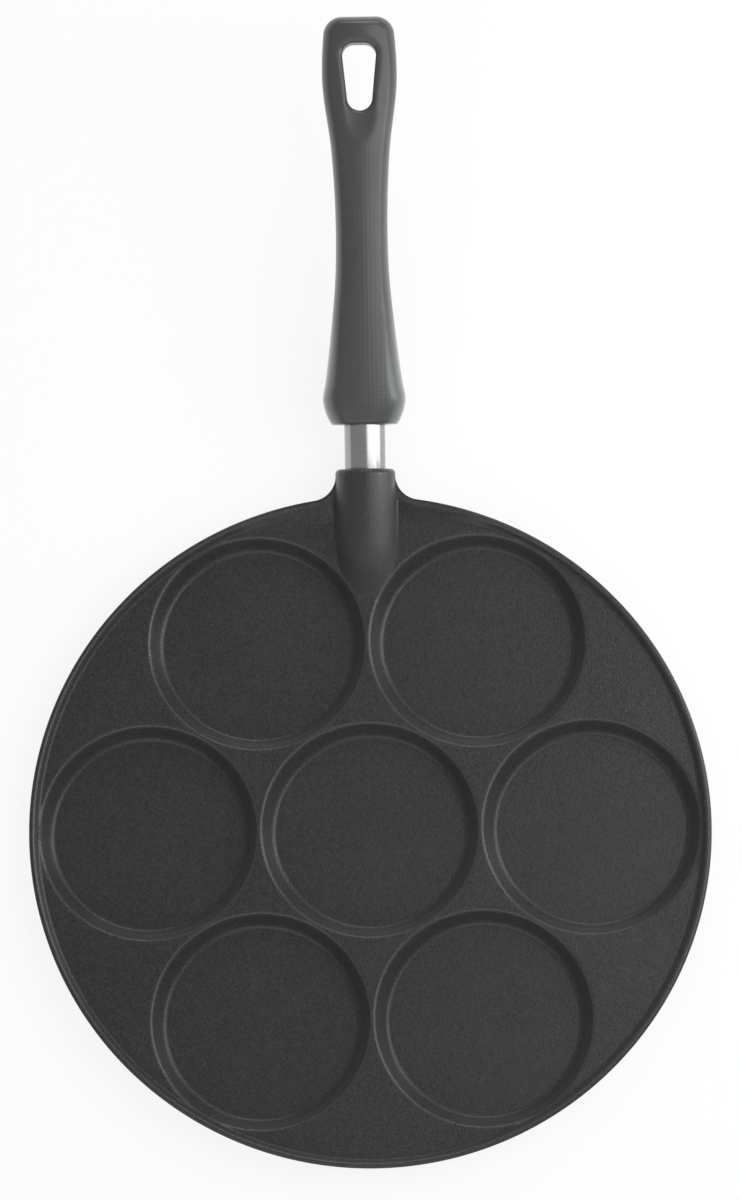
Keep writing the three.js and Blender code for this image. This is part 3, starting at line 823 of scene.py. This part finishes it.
def grip_points(roll_width):
    """Plan points of one face of the grip, bunched where it rolls over at its edge and its hole."""
    reach = roll_width(outline_of_grip[:, 1])
    rows = np.vstack([inset_path(outline_of_grip, share * reach) for share in roll_shares])
    rows = rows[rows[:, 1] > BELL_LENGTH - BELL_ROOM]
    holes = [eye_outline(share * eye_roll_reach) for share in eye_roll_shares]
    columns = np.linspace(-FIELD_HALF_WIDTH, FIELD_HALF_WIDTH, FIELD_COLUMNS)
    x, y = np.meshgrid(columns, np.arange(FIELD_START, GRIP_LENGTH, FIELD_SPACING))
    field = np.column_stack([x.ravel(), y.ravel()])
    clear = distance_to(edge_of_grip, *field.T, False) > roll_width(field[:, 1]) + ROLL_ROOM
    clear &= distance_to(outline_of_eye, *field.T, True) > eye_roll_reach + EYE_ROOM
    clear &= np.abs(field[:, 0]) < half_width(field[:, 1])
    points = np.vstack([rows, bell_points(roll_width), *holes, field[clear]])
    ahead = points[:, 1] > MOUTH_ROUND + MOUTH_ROOM
    within = (np.abs(points[:, 0]) < half_width(points[:, 1])) & (points[:, 1] < GRIP_LENGTH)
    return points[ahead & within & ~inside(outline_of_eye, points)]


def grip():
    """The moulded grip: a top and a belly that meet at its widest line, a mouth and a hang hole."""
    skin = Skin()
    middle = middle_height(outline_of_grip[:, 1])
    edge = skin.add(np.column_stack([outline_of_grip, middle]))
    across = mouth_row(flank_width)
    mouth_y = np.full(len(across), MOUTH_ROUND)
    upper = skin.add(np.column_stack([across, mouth_y, grip_top(across, mouth_y)]))
    across = -mouth_row(belly_roll)
    lower = skin.add(np.column_stack([across, mouth_y, grip_bottom(across, mouth_y)]))
    eye_x, eye_y = outline_of_eye.T
    eye_upper = skin.add(np.column_stack([outline_of_eye, grip_top(eye_x, eye_y)]))
    eye_lower = skin.add(np.column_stack([outline_of_eye, grip_bottom(eye_x, eye_y)]))
    skin.sheet([edge + upper[::-1], eye_upper], grip_points(flank_width), grip_top)
    skin.sheet([edge + lower, eye_lower], grip_points(belly_roll), grip_bottom)
    eye_wall(skin, eye_upper, eye_lower)
    rolled_mouth(skin, [edge[0], *upper, edge[-1], *lower])
    x, y, z = np.array(skin.points).T
    from_edge = distance_to(edge_of_grip, x, y, False) / flank_width(y)
    skin.points = [(px, py + FERRULE_EXPOSED, pz) for px, py, pz in skin.points]
    made = skin.piece("grip_moulding", handle_frame)
    paint(made, "hatched", on_panel(from_edge, y) * (z > 0))
    # Gloss and a painted highlight on the flanks: a lighter colour stands in for their reflections
    paint(made, "gloss_and_painted_highlight", on_flank(from_edge, y))
    bore_out(made)
    return made


def eye_wall(skin, upper, lower):
    """The wall of the hang hole, between its edges on the two faces."""
    above, below = (np.array([skin.points[i] for i in ring]) for ring in (upper, lower))
    ring = upper
    for share in np.linspace(0.0, 1.0, EYE_WALL_LEVELS)[1:-1]:
        following = skin.add(above + (below - above) * share)
        skin.bridge(ring, following)
        ring = following
    skin.bridge(ring, lower)


def rolled_mouth(skin, ring):
    """Closes the grip's mouth from a ring round it, with a rounded edge."""
    section = np.array([skin.points[i] for i in ring])
    for turn in np.linspace(0.0, math.pi / 2, MOUTH_ROUND_STEPS)[1:]:
        place = MOUTH_ROUND * (1.0 - math.sin(turn))
        half = half_width(place) - MOUTH_SIDE_ROUND * (1.0 - math.cos(turn))
        height_share = 1.0 - MOUTH_ROUND * (1.0 - math.cos(turn)) / top_height(0.0)
        drawn = section * (half / half_width(MOUTH_ROUND), 0.0, height_share)
        drawn[:, 1] = place
        following = skin.add(drawn)
        skin.bridge(ring, following)
        ring = following
    skin.cap(ring)


def on_panel(from_edge, place):
    """1 on the hatched panel; from_edge counts in widths of the rolling flank."""
    across = ease((from_edge - HATCH_EDGE) / HATCH_EDGE_FADE)
    front = ease((place - HATCH_FROM) / HATCH_FRONT_FADE)
    return across * front * ease((HATCH_TO - place) / HATCH_FADE)


def on_flank(from_edge, place):
    """Gloss and painted highlight of the flanks: 1 at the grip's widest line by the bell, less further
    along and towards the panel.
    """
    kept = 1.0 - GLOSS_AND_HIGHLIGHT_LOSS * ease((place - GLOSS_AND_HIGHLIGHT_LOSS_FROM) / GLOSS_AND_HIGHLIGHT_LOSS_LENGTH)
    return (1.0 - ease(from_edge)) * kept


BORE_LEAD = 2.0


def bore_out(piece):
    """Cuts the ferrule's socket, the screw's passage and the well for the screw's head."""
    socket_end = FERRULE_EXPOSED + GRIP_SOCKET_DEPTH
    seat = FERRULE_EXPOSED + screw_seat
    steps = [
        (ferrule_socket, FERRULE_EXPOSED - BORE_LEAD),
        (ferrule_socket, socket_end),
        (screw_passage, socket_end),
        (screw_passage, seat),
        (HEAD_WELL_RADIUS, seat),
        (HEAD_WELL_RADIUS, seat + HEAD_WELL_STRAIGHT),
        (HEAD_WELL_MOUTH, FERRULE_EXPOSED + eye_near + EYE_NEAR_HALF_WIDTH),
    ]
    cutter = lathe(steps, "grip_bore", False)
    cut = piece.modifiers.new("bore", "BOOLEAN")
    cut.operation = "DIFFERENCE"
    cut.solver = "EXACT"
    cut.object = cutter
    bpy.context.view_layer.update()
    bored = piece.evaluated_get(bpy.context.evaluated_depsgraph_get())
    shaped = bpy.data.meshes.new_from_object(bored)
    piece.modifiers.clear()
    piece.data = shaped
    shaped.shade_smooth()
    shaped.set_sharp_from_angle(angle=SHARP_EDGE)
    bpy.data.objects.remove(cutter)


# Finishes

class Amount:
    """A number or colour that changes over a surface: a node's output that can be reckoned with."""

    def __init__(self, finish, socket):
        self.finish = finish
        self.socket = socket

    def reckon(self, operation, *terms):
        return self.finish.node("ShaderNodeMath", {"operation": operation}, dict(enumerate(terms)))

    def __add__(self, other):
        return self.reckon("ADD", self, other)

    __radd__ = __add__

    def __sub__(self, other):
        return self.reckon("SUBTRACT", self, other)

    def __rsub__(self, other):
        return self.reckon("SUBTRACT", other, self)

    def __mul__(self, other):
        return self.reckon("MULTIPLY", self, other)

    __rmul__ = __mul__


class Finish:
    """A material and the nodes that make it."""

    def __init__(self, name, owner=None):
        self.material = owner or bpy.data.materials.new(name)
        self.material.use_nodes = True
        self.tree = self.material.node_tree
        self.tree.nodes.clear()

    def node(self, kind, settings=None, sockets=None, output=0):
        """Adds a node: its settings are set first, then the values or links of its sockets."""
        made = self.tree.nodes.new(kind)
        for key, value in (settings or {}).items():
            setattr(made, key, value)
        for key, value in (sockets or {}).items():
            if isinstance(value, Amount):
                self.tree.links.new(value.socket, made.inputs[key])
            else:
                made.inputs[key].default_value = value
        return Amount(self, made.outputs[output]) if made.outputs else None

    def place(self):
        return self.node("ShaderNodeTexCoord", output="Object")

    def place_on_handle(self):
        """Places in the handle's own frame, where +Y is the screw's axis."""
        return self.node("ShaderNodeVectorRotate", {"rotation_type": "X_AXIS"}, {
            "Vector": self.place(), "Center": handle_foot, "Angle": -HANDLE_RISE,
        })

    def grain(self, place, scale, detail):
        """Cloudy noise whose patches are about 1/scale metres wide."""
        return self.node("ShaderNodeTexNoise", None, {
            "Vector": place, "Scale": scale, "Detail": detail,
        })

    def part(self, vector, axis):
        return self.node("ShaderNodeSeparateXYZ", None, {0: vector}, axis)

    def stretched(self, place, x, y, z):
        factors = {0: place, 1: (x, y, z)}
        return self.node("ShaderNodeVectorMath", {"operation": "MULTIPLY"}, factors)

    def painted(self, name):
        return self.node("ShaderNodeAttribute", {"attribute_name": name}, None, "Fac")

    def blend(self, share, first, second):
        return self.node("ShaderNodeMix", {"data_type": "RGBA"}, {0: share, 6: first, 7: second}, 2)

    def bump(self, height, strength, distance):
        return self.node("ShaderNodeBump", None, {
            "Height": height, "Strength": strength, "Distance": distance,
        })

    def surface(self, **sockets):
        """A Principled shader; its sockets are named as base_color is for Base Color."""
        titles = [key.replace("_", " ").title().replace("Ior", "IOR") for key in sockets]
        return self.node("ShaderNodeBsdfPrincipled", None, dict(zip(titles, sockets.values())))

    def finish(self, shader):
        self.node("ShaderNodeOutputMaterial", None, {"Surface": shader})
        return self.material


def grey(level, red=1.0, blue=1.0):
    return (level * red, level, level * blue, 1.0)


def coated_casting():
    """A charcoal non-stick coat with a fine pebbled skin, and bare turned metal on the base."""
    f = Finish("coated_casting")
    place = f.place()
    peel = f.grain(place, 900.0, 2.0)
    grit = f.grain(place, 3200.0, 1.0)
    cloud = f.grain(place, 30.0, 3.0)
    wear_and_painted_highlight = f.painted("wear_and_painted_highlight")
    tone = (cloud - 0.5) * 0.4 + (grit - 0.5) * 3.0 + (peel - 0.5) * 1.2 + 0.5
    colour = f.blend(tone, grey(0.006, blue=1.12), grey(0.028, blue=1.12))
    # This lighter grey is partly wear and partly a painted highlight on the lip's crest, the wells' rims
    # and the boss's crown
    colour = f.blend(wear_and_painted_highlight * 0.35, colour, grey(0.075))
    coat = f.surface(
        base_color=colour,
        roughness=0.34 + (peel - 0.5) * 0.2 - wear_and_painted_highlight * 0.1 + f.painted("dry") * 0.22,
        normal=f.bump(peel * 0.6 + grit * 0.4, 0.5, 0.0003),
        ior=1.45,
        sheen_weight=0.14,
        sheen_roughness=0.5,
    )
    across = f.stretched(place, 1.0, 1.0, 0.0)
    radius = f.node("ShaderNodeVectorMath", {"operation": "LENGTH"}, {0: across}, 1)
    lines = f.node("ShaderNodeTexNoise", {"noise_dimensions": "1D"}, {
        "W": radius, "Scale": 700.0, "Detail": 3.0,
    })
    metal = f.surface(
        base_color=f.blend(lines, grey(0.42), grey(0.56)),
        metallic=1.0,
        roughness=0.3 + (lines - 0.5) * 0.25,
        normal=f.bump(lines, 0.25, 0.0003),
    )
    height = f.part(place, "Z")
    turned = height.reckon("LESS_THAN", height, TURNED_BELOW * MM)
    return f.finish(f.node("ShaderNodeMixShader", None, {0: turned, 1: coat, 2: metal}))


def polished_ferrule():
    """Stainless tube polished round and round, with faint handling marks."""
    f = Finish("polished_ferrule")
    place = f.place_on_handle()
    lines = f.grain(f.stretched(place, 60.0, 6000.0, 60.0), 1.0, 2.0)
    smears = f.grain(place, 160.0, 3.0)
    return f.finish(f.surface(
        base_color=f.blend(lines, grey(0.34), grey(0.42)),
        metallic=1.0,
        roughness=0.22 + (lines - 0.5) * 0.12 + (smears - 0.5) * 0.1,
        normal=f.bump(lines, 0.05, 0.0001),
    ))


def phenolic():
    """Black moulded phenolic: satin, with a fine square hatch moulded into the top panel, and
    clear-coated flanks painted a lighter grey as a painted highlight.
    """
    f = Finish("phenolic")
    place = f.place_on_handle()
    mottle = f.grain(place, 260.0, 3.0)
    fine = f.grain(place, 2600.0, 1.0)
    hatched = f.painted("hatched")
    turn_rate = 2 * math.pi / (HATCH_PITCH * MM)
    turns = f.stretched(place, turn_rate, turn_rate, turn_rate)
    waves = f.node("ShaderNodeVectorMath", {"operation": "SINE"}, {0: turns})
    hatch = (f.part(waves, "X") + f.part(waves, "Y")) * 0.5 * hatched
    gloss_and_painted_highlight = f.painted("gloss_and_painted_highlight")
    body = f.blend(mottle * 0.6 + fine * 0.4, grey(0.0455, 0.94, 0.965), grey(0.071, 0.94, 0.965))
    # The flanks' lighter blue-grey is a painted highlight; their clear coat and lower roughness are real
    # gloss
    return f.finish(f.surface(
        base_color=f.blend(gloss_and_painted_highlight, body, (0.095, 0.107, 0.116, 1.0)),
        roughness=0.34 + hatched * 0.06 - gloss_and_painted_highlight * 0.14 + (mottle - 0.5) * 0.12,
        coat_weight=gloss_and_painted_highlight,
        coat_roughness=0.22,
        normal=f.bump(hatch * 0.25 + fine * 0.15, 0.3, 0.0004),
    ))


def plated_steel(name, dark, light):
    """Plated steel with fine turning lines and a mottled, handled film."""
    f = Finish(name)
    place = f.place_on_handle()
    lines = f.grain(f.stretched(place, 300.0, 4000.0, 300.0), 1.0, 2.0)
    film = f.grain(place, 500.0, 3.0)
    return f.finish(f.surface(
        base_color=f.blend(film, grey(dark), grey(light, 1.02, 0.98)),
        metallic=1.0,
        roughness=0.3 + (lines - 0.5) * 0.15 + (film - 0.5) * 0.12,
        normal=f.bump(lines, 0.15, 0.0001),
    ))


def wear(piece, material):
    piece.data.materials.clear()
    piece.data.materials.append(material)


# Pieces

pan_body = casting()
wear(pan_body, coated_casting())
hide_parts("pan_casting")
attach(pan_body, "root")

ferrule_tube = ferrule()
wear(ferrule_tube, polished_ferrule())
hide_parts("ferrule")
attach(ferrule_tube, "root")

grip_moulding = grip()
wear(grip_moulding, phenolic())
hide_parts("handle_grip")
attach(grip_moulding, "root")

bright_steel = plated_steel("bright_steel", 0.42, 0.55)
dark_steel = plated_steel("dark_steel", 0.16, 0.26)
wear(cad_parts["handle_screw"], bright_steel)
wear(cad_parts["flat_washer"], bright_steel)
wear(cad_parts["spring_washer"], dark_steel)


# Stage

FLOOR_SIZE = 6.0
FLOOR_DROP = 0.0002
FLOOR_TONE = 0.9
FLOOR_WHITE_SHARE = 0.86
PAN = (0.0, 0.06, 0.0)
HANDLE = (0.0, 0.175, 0.03)


def pale_floor():
    """A pale floor that reads as white to the eye and in reflections, and still takes shadows."""
    mesh = bpy.data.meshes.new("floor")
    half = FLOOR_SIZE / 2
    corners = [(-half, -half, 0), (half, -half, 0), (half, half, 0), (-half, half, 0)]
    mesh.from_pydata(corners, [], [(0, 1, 2, 3)])
    floor = bpy.data.objects.new("floor", mesh)
    floor.location.z = -FLOOR_DROP
    bpy.context.scene.collection.objects.link(floor)
    f = Finish("pale_floor")
    seen = f.node("ShaderNodeLightPath", output="Is Camera Ray")
    mirrored = f.node("ShaderNodeLightPath", output="Is Glossy Ray")
    through = f.node("ShaderNodeLightPath", output="Is Transmission Ray")
    looked_at = seen.reckon("MAXIMUM", seen, mirrored)
    looked_at = looked_at.reckon("MAXIMUM", looked_at, through)
    lit = f.node("ShaderNodeBsdfDiffuse", None, {"Color": grey(FLOOR_TONE)})
    white = f.node("ShaderNodeEmission", None, {"Color": grey(1.0), "Strength": 1.0})
    share = looked_at * FLOOR_WHITE_SHARE
    shader = f.node("ShaderNodeMixShader", None, {0: share, 1: lit, 2: white})
    mesh.materials.append(f.finish(shader))


def softbox(name, aim, direction, distance, size, power):
    """A soft panel of light this far from the place it looks at."""
    data = bpy.data.lights.new(name, "AREA")
    data.shape = "RECTANGLE"
    data.size, data.size_y = size
    data.energy = power
    lamp = bpy.data.objects.new(name, data)
    toward = Vector(direction).normalized()
    lamp.location = Vector(aim) + toward * distance
    lamp.visible_camera = False
    lamp.rotation_euler = toward.to_track_quat("Z", "Y").to_euler()
    bpy.context.scene.collection.objects.link(lamp)


def surroundings(strength):
    world = bpy.data.worlds.new("surroundings")
    bpy.context.scene.world = world
    f = Finish("surroundings", world)
    glow = f.node("ShaderNodeBackground", None, {"Color": grey(1.0), "Strength": strength})
    f.node("ShaderNodeOutputWorld", None, {"Surface": glow})


def photo_camera():
    """The camera that sees the pan's middle where the photograph has it, at the same scale."""
    back = Vector((
        math.sin(CAMERA_YAW) * math.cos(CAMERA_TILT),
        -math.sin(CAMERA_TILT),
        math.cos(CAMERA_TILT) * math.cos(CAMERA_YAW),
    )).normalized()
    level = Vector((0, 1, 0)).cross(back).normalized()
    upward = back.cross(level)
    right = level * math.cos(CAMERA_ROLL) + upward * math.sin(CAMERA_ROLL)
    up = upward * math.cos(CAMERA_ROLL) - level * math.sin(CAMERA_ROLL)
    across = (PAN_MIDDLE_PX[0] - FRAME_WIDTH / 2) / PX_PER_MM
    rise = (FRAME_HEIGHT / 2 - PAN_MIDDLE_PX[1]) / PX_PER_MM
    place = (Vector((0, 0, land_z)) - right * across - up * rise + back * CAMERA_DISTANCE) * MM
    data = bpy.data.cameras.new("photo_camera")
    data.sensor_fit = "VERTICAL"
    data.angle = 2 * math.atan(FRAME_HEIGHT / 2 / PX_PER_MM / CAMERA_DISTANCE)
    camera = bpy.data.objects.new("photo_camera", data)
    turned = Matrix((right, up, back)).transposed().to_4x4()
    camera.matrix_world = Matrix.Translation(place) @ turned
    bpy.context.scene.collection.objects.link(camera)
    bpy.context.scene.camera = camera


pale_floor()
softbox("window_right", PAN, (0.66, 0.06, 0.75), 0.92, (0.6, 1.0), 4.4)
softbox("window_behind", PAN, (0.1, 0.88, 0.46), 1.2, (0.7, 0.5), 3.2)
softbox("room_in_front", PAN, (-0.15, -0.8, 0.58), 1.3, (1.6, 0.9), 4.6)
softbox("card_by_handle", HANDLE, (0.95, 0.0, 0.31), 0.36, (0.14, 0.3), 0.4)
surroundings(0.45)
photo_camera()
bpy.context.scene.view_settings.view_transform = "Standard"
